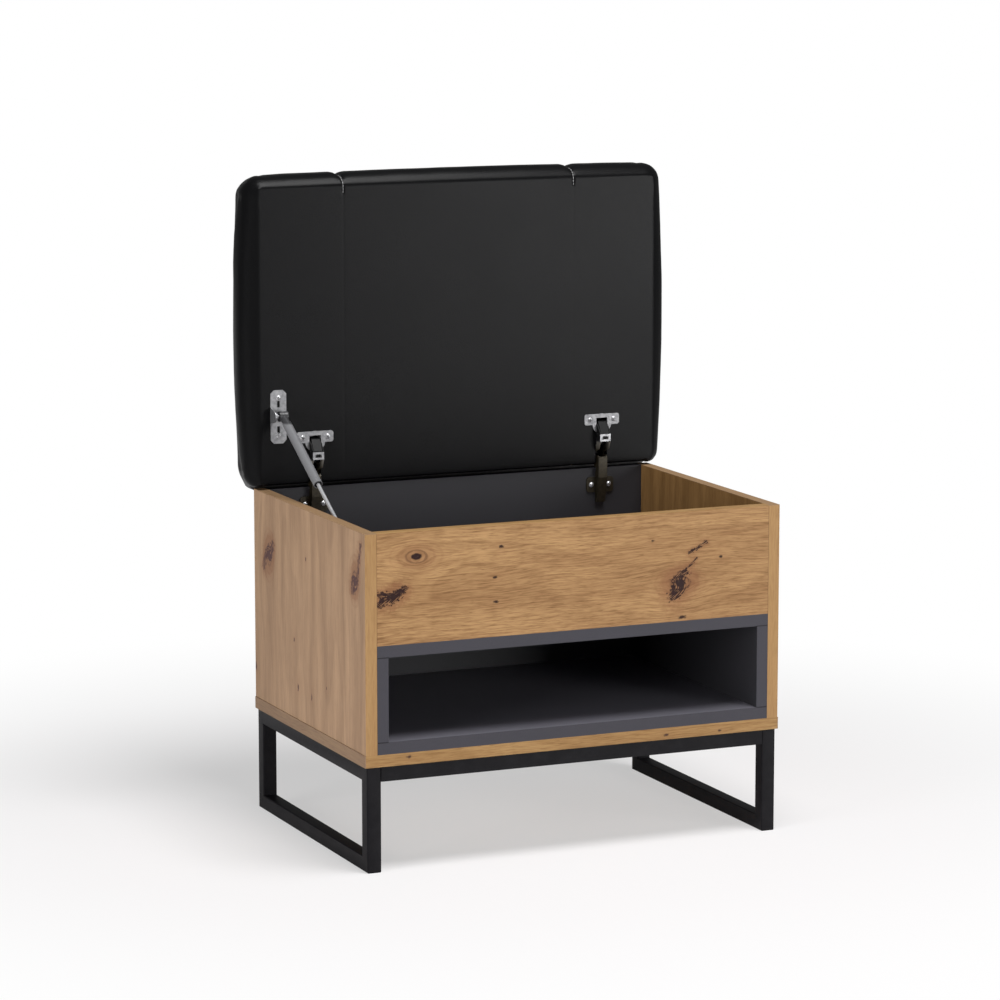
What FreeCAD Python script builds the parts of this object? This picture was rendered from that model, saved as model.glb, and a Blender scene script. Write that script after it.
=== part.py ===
import FreeCAD, Part
import math
import os
from FreeCAD import Vector

# A storage bench: a chest with an open niche below it, on a frame of square tube, with a padded
# lid that stands open at rest. Millimetres. X runs across the front, Y from front to back, Z up.
# Until it is saved, a shape has X = 0 at the cabinet's left face and Y = 0 at its front.

# cabinet
width = 600.0
depth = 412.0
board = 16.0
edge_band = 0.8
bottom_overhang = 1.0
front_height = 148.0
niche_height = 112.0

# leg frame
leg_height = 141.0
tube = 20.0
tube_wall = 1.5
leg_inset = 2.0

# lid
lid_gap = 0.4
lid_board = 16.0
board_margin = 3.0
cover = 1.2
pad_thickness = 92.0
pad_corner = 18.0
side_bulge = 17.0
rear_bulge = 8.0
seat_edge = 16.0
rear_roll = 8.0
roll_steps = (0.0, 0.1, 0.25, 0.5, 1.0)
pad_levels = (0.18, 0.27, 0.38, 0.52, 0.66, 0.78, 0.87, 0.94, 0.985, 1.0)
staple_pitch = 48.0
staple_margin = 32.0

# hinges: one pin each, above the back panel
hinge_inset = 82.0
axis_from_back = 9.0
axis_above_top = 13.0
pin_radius = 2.0
ear_radius = 5.5
metal = 1.3
arm_width = 13.4
ear_play = 0.2
arm_stand = 11.8
base_thickness = 1.8
base_half = 21.0
base_screw_half = 13.5
base_low = -48.0
base_high = -26.0
base_foot = -62.0
cup_wall = 1.0
cup_depth = 11.0
cup_above_axis = 51.0
cup_pocket = 17.0
through_play = 0.3
flange_half = 27.0
flange_thickness = 1.5
flange_screw_half = 18.5
lid_arm_stand = 14.0

# gas strut, on the left
strut_from_side = 14.5
ball_radius = 5.0
ball_play = 0.08
stud_radius = 2.6
upper_ball_y = -26.0
upper_ball_z = 90.0
lower_ball_y = -262.0
lower_ball_z = -44.4
socket_half = 6.0
socket_radius = 7.2
socket_neck = 17.0
cylinder_end = 152.0
cylinder_radius = 6.25
cylinder_wall = 1.0
rod_radius = 2.5
guide_length = 9.0
piston_length = 8.0
bracket_width = 23.0
bracket_low = 51.0
bracket_high = 125.0
bracket_thickness = 1.5
bracket_to_wall = 1.0
side_bracket_half = 12.0
side_bracket_reach = 24.0

# fits and fasteners
fit = 0.05
dowel_radius = 4.0
dowel_length = 30.0
liner_dowel_length = 25.0
dowel_in_side = 10.0
cam_radius = 7.5
cam_depth = 12.5
cam_from_end = 34.0
bolt_radius = 2.5
bolt_in_side = 11.0
carcass_screw_length = 50.0
carcass_screw_radius = 2.5
wood_screw_radius = 2.0
screw_short_of_face = 2.0
small_screw_radius = 1.9
cabinet_screw_length = 12.0
lid_screw_length = 13.0

# where the fasteners sit, from a panel's end or edge
shelf_cam_from_end = 50.0
shelf_dowel_from_end = 130.0
liner_dowel_from_end = 100.0
front_dowel_from_edge = 24.0
back_dowel_above = 20.0
back_dowel_below = 30.0
carcass_screw_from_end = 40.0
floor_screw_from_end = 100.0
frame_screw_from_end = 80.0
side_bracket_screw_half = 17.0
lid_bracket_screw_from_end = 11.0

# heights and faces that follow
top = leg_height + 3 * board + niche_height + front_height
shelf = leg_height + board
niche_low = shelf + board
niche_high = niche_low + niche_height
chest_floor = niche_high + board
inner_left = board
inner_right = width - board
inner_back = depth - board
strut_x = inner_left + strut_from_side
axis_y = depth - axis_from_back
axis_z = top + axis_above_top
lid_face = axis_y - axis_above_top + lid_gap
lid_low = axis_z - axis_from_back
lid_high = lid_low + depth
pad_back = lid_face + pad_thickness
arm_reach = arm_width / 2 + ear_play + metal
pocket_half = arm_reach + through_play
cup_radius = math.hypot(pocket_half, cup_pocket / 2) + cup_wall
hinge_places = {"left": hinge_inset, "right": width - hinge_inset}

along_x = Vector(1, 0, 0)
along_y = Vector(0, 1, 0)
along_z = Vector(0, 0, 1)


def box(x0, x1, y0, y1, z0, z1):
    return Part.makeBox(x1 - x0, y1 - y0, z1 - z0, Vector(x0, y0, z0))


def profile_x(outline, x0, x1):
    """A plate between two X places, from an outline of (y, z) points."""
    points = [Vector(x0, y, z) for y, z in outline]
    return Part.Face(Part.makePolygon(points + points[:1])).extrude(Vector(x1 - x0, 0, 0))


def fuse(shapes):
    return shapes[0].multiFuse(shapes[1:]).removeSplitter()


def bored(shape, holes):
    """Cut the holes that reach this shape."""
    near = [hole for hole in holes if shape.BoundBox.intersect(hole.BoundBox)]
    return shape.cut(near) if near else shape


def aimed(shape, at, along):
    """Move a shape made along +Z at the origin to its place and direction."""
    shape.Placement = FreeCAD.Placement(at, FreeCAD.Rotation(along_z, along))
    return shape


def save(name, shapes):
    os.makedirs("parts", exist_ok=True)
    solids = [solid for shape in shapes for solid in shape.Solids]
    shape = Part.makeCompound(solids) if len(solids) > 1 else solids[0]
    shape.translate(Vector(-width / 2, -pad_back / 2, 0))
    shape.exportStep(f"parts/{name}.step")


# fasteners, each with the hole it needs


def countersunk(length, radius, extra=0.0):
    """A countersunk screw: its flush head has twice the shank's radius."""
    head = radius * 2 + extra
    shank = radius + extra
    outline = [(0, 0), (head, 0), (shank, radius), (shank, length - radius), (0, length + extra)]
    points = [Vector(x, 0, z) for x, z in outline]
    face = Part.Face(Part.makePolygon(points + points[:1]))
    return face.revolve(Vector(), along_z, 360)


def pan_head(length, radius):
    """A pan-head screw: its domed head stands above the face it holds."""
    head = radius * 2
    rise = radius * 1.1
    dome = Part.Arc(Vector(0, 0, -rise), Vector(head * 0.72, 0, -rise * 0.72), Vector(head, 0, 0))
    outline = [(head, 0), (radius, 0), (radius, length - radius), (0, length), (0, -rise)]
    rest = Part.makePolygon([Vector(x, 0, z) for x, z in outline])
    face = Part.Face(Part.Wire([dome.toShape()] + rest.Edges))
    return face.revolve(Vector(), along_z, 360)


def cross_slot(radius, height):
    """The cross recess in a screw's head, from the given height down to its face."""
    long_arm = radius * 1.3
    thin_arm = radius * 0.28
    deep = radius * 0.9
    one = box(-long_arm, long_arm, -thin_arm, thin_arm, height, deep)
    two = box(-thin_arm, thin_arm, -long_arm, long_arm, height, deep)
    return one.fuse(two)


def countersunk_screw(at, along, length, radius):
    screw = countersunk(length, radius).cut(cross_slot(radius, -1))
    return aimed(screw, at, along), aimed(countersunk(length, radius, fit), at, along)


def pan_screw(at, along, length, radius):
    screw = pan_head(length, radius).cut(cross_slot(radius, -radius * 2))
    hole = Part.makeCylinder(radius + fit, length + fit)
    return aimed(screw, at, along), aimed(hole, at, along)


def dowel(at, along, length=dowel_length):
    pin = Part.makeCylinder(dowel_radius, length)
    pin = pin.makeChamfer(1.0, [pin.Edges[0], pin.Edges[2]])
    hole = Part.makeCylinder(dowel_radius + fit, length + 2 * fit, Vector(0, 0, -fit))
    return aimed(pin, at, along), aimed(hole, at, along)


def cam_joint(end, inward, face, open_side):
    """A cam in a panel and its bolt in the side: end is where the bolt crosses the joint,
    inward points into the panel, face is the panel face the cam is bored from."""
    centre = end + inward * cam_from_end
    start = centre + open_side * (face - centre.dot(open_side))
    into_face = open_side * -1
    thread_radius = bolt_radius + 0.5
    head_radius = bolt_radius + 1.0
    head_length = 2.5
    disc = Part.makeCylinder(cam_radius, cam_depth, start, into_face)
    slot_start = centre - inward * (cam_radius + 1)
    slot = Part.makeCylinder(head_radius + 0.4, cam_radius + head_length + 3, slot_start, inward)
    key = aimed(cross_slot(cam_radius * 0.4, -1), start, into_face)
    foot = end - inward * bolt_in_side
    thread = Part.makeCylinder(thread_radius, bolt_in_side, foot, inward)
    shank = Part.makeCylinder(bolt_radius, cam_from_end - head_length, end, inward)
    head = Part.makeCylinder(head_radius, head_length, end + inward * (cam_from_end - head_length), inward)
    disc_hole = Part.makeCylinder(cam_radius + fit, cam_depth + fit, start, into_face)
    thread_hole = Part.makeCylinder(thread_radius + fit, bolt_in_side + fit, foot - inward * fit, inward)
    shank_hole = Part.makeCylinder(head_radius, cam_from_end, end, inward)
    return disc.cut([slot, key]), fuse([thread, shank, head]), [disc_hole, thread_hole, shank_hole]


dowels = []
cams = []
bolts = []
cabinet_holes = []


def add_dowel(at, along, length=dowel_length):
    pin, hole = dowel(at, along, length)
    dowels.append(pin)
    cabinet_holes.append(hole)


def add_cam(end, inward, face, open_side):
    disc, bolt, holes = cam_joint(end, inward, face, open_side)
    cams.append(disc)
    bolts.append(bolt)
    cabinet_holes.extend(holes)


# The shelf over the niche, the front panel and the back panel are each held to both sides by
# cams and dowels.
shelf_middle = niche_high + board / 2
back_middle = inner_back + board / 2
front_middle = board / 2
for face_x, inward in ((inner_left, along_x), (inner_right, along_x * -1)):
    for y in (shelf_cam_from_end, inner_back - shelf_cam_from_end):
        add_cam(Vector(face_x, y, shelf_middle), inward, -niche_high, along_z * -1)
    add_cam(Vector(face_x, front_middle, chest_floor + front_height / 2), inward, board, along_y)
    for z in (niche_low + niche_height / 2, chest_floor + front_height / 2):
        add_cam(Vector(face_x, back_middle, z), inward, depth, along_y)
    foot_x = face_x - inward.x * dowel_in_side
    for y in (shelf_dowel_from_end, inner_back - shelf_dowel_from_end):
        add_dowel(Vector(foot_x, y, shelf_middle), inward)
    for z in (chest_floor + front_dowel_from_edge, top - front_dowel_from_edge):
        add_dowel(Vector(foot_x, front_middle, z), inward)
    for z in (niche_low + back_dowel_above, top - back_dowel_below):
        add_dowel(Vector(foot_x, back_middle, z), inward)
    liner_x = face_x + inward.x * board / 2
    upper_start = niche_high - liner_dowel_length + dowel_in_side
    for y in (liner_dowel_from_end, inner_back - liner_dowel_from_end):
        add_dowel(Vector(liner_x, y, niche_low - dowel_in_side), along_z, liner_dowel_length)
        add_dowel(Vector(liner_x, y, upper_start), along_z, liner_dowel_length)
for x in (width / 3, width * 2 / 3):
    add_dowel(Vector(x, front_middle, chest_floor - dowel_in_side), along_z)
    add_dowel(Vector(x, inner_back + dowel_in_side - dowel_length, shelf_middle), along_y)

# Screws up through the bottom panel: long ones into the sides and back, short ones into the floor.
carcass_places = [(x, y) for x in (board / 2, width - board / 2)
                  for y in (carcass_screw_from_end, depth / 2, depth - carcass_screw_from_end)]
carcass_places += [(x, back_middle) for x in (width / 3, width * 2 / 3)]
carcass_screws = [
    countersunk_screw(Vector(x, y, leg_height), along_z, carcass_screw_length, carcass_screw_radius)
    for x, y in carcass_places]
floor_screw_length = 2 * board - 2 * screw_short_of_face
floor_screws = [
    countersunk_screw(Vector(x, y, leg_height), along_z, floor_screw_length, wood_screw_radius)
    for x in (floor_screw_from_end, width / 2, width - floor_screw_from_end)
    for y in (floor_screw_from_end, depth - floor_screw_from_end)]

# Screws up through the frame's top tubes into the bottom panel.
tube_middle = leg_inset + tube / 2
frame_places = [(x, y) for x in (tube_middle, width - tube_middle)
                for y in (frame_screw_from_end, depth - frame_screw_from_end)]
frame_places += [(x, y) for x in (width / 4, width * 3 / 4) for y in (tube_middle, depth - tube_middle)]
frame_screw_length = tube + board - screw_short_of_face
frame_screws = [
    pan_screw(Vector(x, y, leg_height - tube), along_z, frame_screw_length, wood_screw_radius)
    for x, y in frame_places]

# Screws that hold the hinges' base plates and the strut's bracket to the cabinet.
base_screws = {}
for side, x in hinge_places.items():
    places = [Vector(x + step, inner_back - base_thickness, axis_z + (base_low + base_high) / 2)
              for step in (-base_screw_half, base_screw_half)]
    base_screws[side] = [pan_screw(place, along_y, cabinet_screw_length, small_screw_radius)
                         for place in places]
lower_y = axis_y + lower_ball_y
lower_z = axis_z + lower_ball_z
side_bracket_face = inner_left + bracket_thickness
side_bracket_screws = [
    pan_screw(Vector(side_bracket_face, lower_y, lower_z + step), along_x * -1, cabinet_screw_length,
              small_screw_radius)
    for step in (-side_bracket_screw_half, side_bracket_screw_half)]
for group in [carcass_screws, floor_screws, frame_screws, side_bracket_screws, *base_screws.values()]:
    cabinet_holes.extend(hole for screw, hole in group)
save("dowels", dowels)
save("cam_discs", cams)
save("cam_bolts", bolts)
save("carcass_screws", [screw for screw, hole in carcass_screws])
save("floor_screws", [screw for screw, hole in floor_screws])
save("frame_screws", [screw for screw, hole in frame_screws])


# panels, each a core with its edge strips

sides_of_box = ("-x", "+x", "-y", "+y", "-z", "+z")


def banded(extent, banded_sides):
    """Split a panel, given as its six box limits, into a core and a strip on each named side."""
    core = list(extent)
    strips = []
    for side in banded_sides:
        at = sides_of_box.index(side)
        step = -edge_band if at % 2 else edge_band
        strip = list(core)
        strip[at ^ 1] = core[at] + step
        core[at] += step
        strips.append(box(*strip))
    return box(*core), strips


wood_panels = {
    "bottom_panel": ((-bottom_overhang, width + bottom_overhang, 0, depth, leg_height, shelf),
                     ("-y", "+y", "-x", "+x")),
    "side_panel_left": ((0, inner_left, 0, depth, shelf, top), ("-y", "+y", "+z")),
    "side_panel_right": ((inner_right, width, 0, depth, shelf, top), ("-y", "+y", "+z")),
    "front_panel": ((inner_left, inner_right, 0, board, chest_floor, top), ("+z",)),
}
dark_panels = {
    "niche_floor": ((inner_left, inner_right, 0, inner_back, shelf, niche_low), ("-y",)),
    "chest_floor": ((inner_left, inner_right, 0, inner_back, niche_high, chest_floor), ("-y",)),
    "niche_side_left": ((inner_left, inner_left + board, 0, inner_back, niche_low, niche_high), ("-y",)),
    "niche_side_right": ((inner_right - board, inner_right, 0, inner_back, niche_low, niche_high), ("-y",)),
    "back_panel": ((inner_left, inner_right, inner_back, depth, shelf, top), ("+z",)),
}
for panels, strip_name in ((wood_panels, "edge_bands_oak"), (dark_panels, "edge_bands_dark")):
    all_strips = []
    for name, (extent, banded_sides) in panels.items():
        core, strips = banded(extent, banded_sides)
        save(name, [bored(core, cabinet_holes)])
        all_strips.extend(strips)
    save(strip_name, all_strips)


# leg frame: two closed loops with mitred corners and two rails across


def loop_corner(index, inward):
    """A corner of the loop's outline in (y, z), moved towards the loop's middle both ways."""
    low_y = index in (0, 3)
    low_z = index in (0, 1)
    y = leg_inset + inward if low_y else depth - leg_inset - inward
    z = inward if low_z else leg_height - inward
    return (y, z)


def mitred_tube(index, x0):
    following = (index + 1) % 4

    def bar(inset):
        outline = [loop_corner(index, inset), loop_corner(following, inset),
                   loop_corner(following, tube - inset), loop_corner(index, tube - inset)]
        return profile_x(outline, x0 + inset, x0 + tube - inset)

    return bar(0).cut(bar(tube_wall))


bar_names = ("floor_rail", "rear_post", "top_rail", "front_post")
for side, x0 in (("left", leg_inset), ("right", width - leg_inset - tube)):
    for index, bar_name in enumerate(bar_names):
        save(f"{side}_{bar_name}", [bored(mitred_tube(index, x0), cabinet_holes)])
for bar_name, y0 in (("front_cross_rail", leg_inset), ("rear_cross_rail", depth - leg_inset - tube)):
    x0 = leg_inset + tube
    x1 = width - x0
    outside = box(x0, x1, y0, y0 + tube, leg_height - tube, leg_height)
    inside = box(x0 - 1, x1 + 1, y0 + tube_wall, y0 + tube - tube_wall,
                 leg_height - tube + tube_wall, leg_height - tube_wall)
    save(bar_name, [bored(outside.cut(inside), cabinet_holes)])


# lid: a board and foam in a cover that goes all the way round


def bulge(level, amount, start=0.0):
    """How far the pad's side stands out at a level from 0 (underside) to 1 (seat)."""
    if level <= start:
        return 0.0
    widest = 0.5
    if level < widest:
        return amount * (1 - ((widest - level) / (widest - start)) ** 2.5)
    return amount - (amount + seat_edge) * ((level - widest) / (1 - widest)) ** 4


def rounded_section(x0, x1, y, z0, z1, radius):
    """A rectangle with round corners, in the plane at Y = y."""
    corners = ((x1 - radius, z1 - radius, 0), (x0 + radius, z1 - radius, 90),
               (x0 + radius, z0 + radius, 180), (x1 - radius, z0 + radius, 270))
    arcs = []
    for x, z, turn in corners:
        points = []
        for angle in (turn, turn + 45, turn + 90):
            angle = math.radians(angle)
            points.append(Vector(x + radius * math.cos(angle), y, z + radius * math.sin(angle)))
        arcs.append(Part.Arc(*points).toShape())
    edges = []
    for index, arc in enumerate(arcs):
        following = arcs[(index + 1) % 4]
        edges.append(arc)
        edges.append(Part.LineSegment(arc.Vertexes[-1].Point, following.Vertexes[0].Point).toShape())
    return Part.Wire(edges)


def pad_shape(inset):
    """The pad's outer shape, or the same shape this much smaller all round. The edge between
    its underside and its rear is rounded, so that it rolls over the cabinet's back panel."""
    clear_of_back = (cover + lid_board + 4) / pad_thickness
    sections = []
    for level in [step * rear_roll / pad_thickness for step in roll_steps] + list(pad_levels):
        side = bulge(level, side_bulge) - inset
        short = max(rear_roll - level * pad_thickness, 0.0)
        rolled = rear_roll - math.sqrt(rear_roll ** 2 - short ** 2)
        rear = bulge(level, rear_bulge, clear_of_back) - inset - rolled
        y = lid_face + inset + (pad_thickness - 2 * inset) * level
        sections.append(rounded_section(-side, width + side, y, lid_low - rear, lid_high + side,
                                        pad_corner - inset))
    return Part.makeLoft(sections, True, True)


board_face = lid_face + cover
board_back = board_face + lid_board
lid_screws = {}
cup_z = axis_z + cup_above_axis
notch_half = arm_reach + 0.8
notch_top = axis_z + 21
notch_back = axis_y + ear_radius + 0.5
lid_holes = []
for side, x in hinge_places.items():
    places = [Vector(x + step, lid_face - flange_thickness, cup_z + 6)
              for step in (-flange_screw_half, flange_screw_half)]
    lid_screws[side] = [pan_screw(place, along_y, lid_screw_length, small_screw_radius)
                        for place in places]
    cup_mouth = Vector(x, lid_face, cup_z)
    lid_holes.append(Part.makeCylinder(cup_radius + fit, cup_depth + fit, cup_mouth, along_y))
    lid_holes.append(box(x - notch_half, x + notch_half, lid_face - 1, notch_back, lid_low - 20, notch_top))
bracket_x0 = inner_left + bracket_to_wall
bracket_x1 = bracket_x0 + bracket_width
bracket_middle = (bracket_x0 + bracket_x1) / 2
bracket_screws = [
    pan_screw(Vector(bracket_middle, lid_face - bracket_thickness, axis_z + height), along_y,
              lid_screw_length, small_screw_radius)
    for height in (bracket_low + lid_bracket_screw_from_end, bracket_high - lid_bracket_screw_from_end)]
for group in [bracket_screws, *lid_screws.values()]:
    lid_holes.extend(hole for screw, hole in group)

outer = pad_shape(0)
inner = pad_shape(cover)
lid_core = box(board_margin, width - board_margin, board_face, board_back,
               lid_low + board_margin, lid_high - board_margin).common(inner)
save("lid_board", [bored(lid_core, lid_holes)])
save("lid_foam", [bored(inner.cut(lid_core), lid_holes)])
save("lid_cover", [bored(outer.cut(inner), lid_holes)])
staples = []
staple_count = int((width - 2 * staple_margin) / staple_pitch)
for index in range(staple_count):
    x = width / 2 + (index - (staple_count - 1) / 2) * staple_pitch
    if min(abs(x - place) for place in hinge_places.values()) > notch_half + 8:
        y = board_face + lid_board / 2
        crown = box(x - 5, x + 5, y - 0.5, y + 0.5, lid_low - 0.6, lid_low)
        staples.append(crown)
save("cover_staples", staples)


# hinges


def hinge(side, x):
    axis = Vector(x, axis_y, axis_z)
    half = arm_width / 2
    arm_face = inner_back - arm_stand
    arm_rear = inner_back - base_thickness - fit
    foot_z = axis_z + base_foot
    knee_z = axis_z + base_high

    # base plate: two wings with the screws and a spine that carries the arm
    wings = box(x - base_half, x + base_half, inner_back - base_thickness, inner_back,
                axis_z + base_low, knee_z)
    upright = [edge for edge in wings.Edges if abs(edge.tangentAt(edge.FirstParameter).y) > 0.9]
    wings = wings.makeFillet(5.0, upright)
    spine = box(x - half, x + half, inner_back - base_thickness, inner_back, foot_z, knee_z + 8)
    holes = [hole for screw, hole in base_screws[side]]
    save(f"hinge_base_{side}", [bored(fuse([wings, spine]), holes)])

    # fixed arm: a channel up the back panel's inner face, hooked over its top to the pin
    crest = axis_z + ear_radius
    outline = [(arm_rear - 3, foot_z), (arm_face, knee_z), (arm_face, crest - 3), (arm_face + 3, crest),
               (axis_y, crest), (axis_y, axis_z - ear_radius), (arm_rear + 4, top + 1.2),
               (arm_rear, top + 1.2), (arm_rear, foot_z)]
    ear = Part.makeCylinder(ear_radius, arm_width, axis - along_x * half, along_x)
    body = fuse([profile_x(outline, x - half, x + half), ear])
    past_ear = axis_y + ear_radius + 1
    hollow = [(arm_rear - 3 + metal, foot_z - 1), (arm_face + metal, knee_z), (arm_face + metal, crest + 1),
              (past_ear, crest + 1), (past_ear, top - 1), (arm_rear + 1, top - 1), (arm_rear + 1, foot_z - 1)]
    inside = profile_x(hollow, x - half + metal, x + half - metal)
    bore = Part.makeCylinder(pin_radius + fit / 2, arm_width + 2, axis - along_x * (half + 1), along_x)
    save(f"hinge_arm_{side}", [body.cut([inside, bore])])

    # pin, with a low head beyond each outer ear
    shaft = Part.makeCylinder(pin_radius, 2 * arm_reach + 0.2, axis - along_x * (arm_reach + 0.1), along_x)
    heads = [Part.makeCylinder(pin_radius + 0.9, 0.4, axis + along_x * start, along_x)
             for start in (-arm_reach - 0.5, arm_reach + 0.1)]
    save(f"hinge_pin_{side}", [fuse([shaft, *heads])])

    # moving arm: ears outside the fixed arm, through the notch, forward over the cup's rim
    over = lid_face - flange_thickness - 0.3
    front = lid_face - lid_arm_stand
    rise = cup_z - 24
    rim = cup_z - cup_pocket / 2 + 0.4
    outline = [(axis_y - ear_radius, axis_z), (axis_y - 4.6, axis_z + 8.2), (front + 5, axis_z + 15.5),
               (front, rise), (front, rise + 11), (front + 3.6, rim), (over - 1, rim + 8),
               (lid_face + 6, rim + 8), (lid_face + 6, rim), (over, rim), (over, notch_top - 0.4),
               (axis_y - 2, notch_top - 0.4), (axis_y + ear_radius, axis_z + 8),
               (axis_y + ear_radius, axis_z)]
    ears = []
    for start in (-arm_reach, half + ear_play):
        plate = profile_x(outline, x + start, x + start + metal)
        eye = Part.makeCylinder(ear_radius, metal, axis + along_x * start, along_x)
        ears.append(fuse([plate, eye]))
    web = box(x - arm_reach, x + arm_reach, front, front + metal, rise, rise + 11)
    window = box(x - 3.2, x + 3.2, front - 1, front + metal + 1, rise + 3.5, rise + 7.5)
    bore = Part.makeCylinder(pin_radius + fit, 2 * arm_reach + 2, axis - along_x * (arm_reach + 1), along_x)
    save(f"hinge_lid_arm_{side}", [fuse([*ears, web]).cut([window, bore])])

    # cup sunk into the lid board, and the link between it and the moving arm
    cup = Part.makeCylinder(cup_radius, cup_depth, Vector(x, lid_face, cup_z), along_y)
    pocket = box(x - pocket_half, x + pocket_half, lid_face - 2 * flange_thickness,
                 lid_face + cup_depth - metal, cup_z - cup_pocket / 2, cup_z + cup_pocket / 2)
    save(f"hinge_cup_{side}", [cup.cut(pocket)])
    link = [(front + metal + fit, rise + 4), (front + metal + fit, rise + 12), (over - 1, cup_z + 3),
            (lid_face + 7, cup_z + 6), (lid_face + 7, cup_z - 3), (over - 2, rim - 1)]
    save(f"hinge_link_{side}", [profile_x(link, x - half + 0.5, x + half - 0.5)])

    # flange on the lid's underside round the cup
    wings = box(x - flange_half, x + flange_half, lid_face - flange_thickness, lid_face,
                cup_z - 1.5, cup_z + 14)
    upright = [edge for edge in wings.Edges if abs(edge.tangentAt(edge.FirstParameter).y) > 0.9]
    wings = wings.makeFillet(3.5, upright)
    ring = Part.makeCylinder(cup_radius + 1.5, flange_thickness, Vector(x, lid_face, cup_z), along_y * -1)
    holes = [hole for screw, hole in lid_screws[side]]
    save(f"hinge_flange_{side}", [bored(fuse([wings, ring]), holes + [pocket])])


for side, x in hinge_places.items():
    hinge(side, x)
save("hinge_screws_cabinet", [screw for group in base_screws.values() for screw, hole in group])
save("hinge_screws_lid", [screw for group in lid_screws.values() for screw, hole in group])


# gas strut

upper = Vector(strut_x, axis_y + upper_ball_y, axis_z + upper_ball_z)
lower = Vector(strut_x, lower_y, lower_z)
strut_line = lower - upper
strut_length = strut_line.Length
strut_way = strut_line / strut_length


def strut_cylinder(start, end, radius):
    """A round bar along the strut, between two distances from the upper ball."""
    return Part.makeCylinder(radius, end - start, upper + strut_way * start, strut_way)


# bracket under the lid: a plate with two slots, and an ear at its left edge for the ball stud
plate_face = lid_face - bracket_thickness
plate = box(bracket_x0, bracket_x1, plate_face, lid_face, axis_z + bracket_low, axis_z + bracket_high)
upright = [edge for edge in plate.Edges if abs(edge.tangentAt(edge.FirstParameter).y) > 0.9]
plate = plate.makeChamfer(5.0, upright)
slots = []
for height in (bracket_low + 15, bracket_high - 24):
    slots.append(box(bracket_middle - 2, bracket_middle + 2, plate_face - 1, lid_face + 1,
                     axis_z + height, axis_z + height + 9))
ear_half = 11.0
ear_nose = Part.makeCylinder(8.0, bracket_thickness, Vector(bracket_x0, upper.y, upper.z), along_x)
ear_web = profile_x([(lid_face, upper.z - ear_half), (upper.y, upper.z - 8), (upper.y, upper.z + 8),
                     (lid_face, upper.z + ear_half)], bracket_x0, bracket_x0 + bracket_thickness)
bracket_holes = [hole for screw, hole in bracket_screws] + slots
save("strut_lid_bracket", [bored(fuse([plate, ear_nose, ear_web]), bracket_holes)])
stud_start = bracket_x0 + bracket_thickness
collar = Part.makeCylinder(5.0, 3.0, Vector(stud_start, upper.y, upper.z), along_x)
stud = Part.makeCylinder(stud_radius, strut_x - stud_start, Vector(stud_start, upper.y, upper.z), along_x)
save("strut_lid_stud", [fuse([stud, collar, Part.makeSphere(ball_radius, upper)])])
save("strut_bracket_screws", [screw for screw, hole in bracket_screws])

# bracket on the left side panel; its stud ends just short of the rod's socket
side_plate = box(inner_left, inner_left + bracket_thickness, lower_y - side_bracket_half,
                 lower_y + side_bracket_half, lower_z - side_bracket_reach, lower_z + side_bracket_reach)
corners = [edge for edge in side_plate.Edges if abs(edge.tangentAt(edge.FirstParameter).x) > 0.9]
side_plate = side_plate.makeFillet(6.0, corners)
save("strut_side_bracket", [bored(side_plate, [hole for screw, hole in side_bracket_screws])])
side_stud_start = Vector(inner_left + bracket_thickness, lower_y, lower_z)
side_stud_length = strut_x - socket_half - 0.3 - side_stud_start.x
side_stud = Part.makeCylinder(stud_radius, side_stud_length, side_stud_start, along_x)
side_collar = Part.makeCylinder(5.0, 3.0, side_stud_start, along_x)
save("strut_side_stud", [fuse([side_stud, side_collar])])
save("strut_side_screws", [screw for screw, hole in side_bracket_screws])

# cylinder, with its socket round the upper ball and the guide at its open end
eye = Part.makeCylinder(socket_radius, 2 * socket_half, upper - along_x * socket_half, along_x)
neck = strut_cylinder(0, socket_neck, cylinder_radius - 1)
cavity = Part.makeSphere(ball_radius + ball_play, upper)
stud_way = Part.makeCylinder(stud_radius + 0.4, socket_half + 2, upper - along_x * (socket_half + 1), along_x)
save("strut_upper_socket", [fuse([eye, neck]).cut([cavity, stud_way])])
cylinder_bore = cylinder_radius - cylinder_wall
casing = strut_cylinder(socket_neck, cylinder_end, cylinder_radius)
casing_inside = strut_cylinder(socket_neck + 2, cylinder_end + 1, cylinder_bore)
save("strut_cylinder", [casing.cut(casing_inside)])
guide = strut_cylinder(cylinder_end - guide_length, cylinder_end, cylinder_bore - fit)
rod_way = strut_cylinder(cylinder_end - guide_length - 1, cylinder_end + 1, rod_radius + fit)
save("strut_guide", [guide.cut(rod_way)])

# rod, with its piston inside the cylinder and its socket at the side bracket
piston_end = cylinder_end - guide_length - 1
piston = strut_cylinder(piston_end - piston_length, piston_end, cylinder_bore - fit)
rod_seat = strut_cylinder(piston_end - piston_length - 1, piston_end + 1, rod_radius + fit / 2)
save("strut_piston", [piston.cut(rod_seat)])
lower_neck = 15.0
save("strut_rod", [strut_cylinder(piston_end - piston_length, strut_length - lower_neck, rod_radius)])
lower_eye = Part.makeCylinder(socket_radius, 2 * socket_half, lower - along_x * socket_half, along_x)
save("strut_lower_socket", [fuse([lower_eye, strut_cylinder(strut_length - lower_neck, strut_length, 4.5)])])
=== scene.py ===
import math

import bmesh
import bpy
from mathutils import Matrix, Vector, noise


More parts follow.
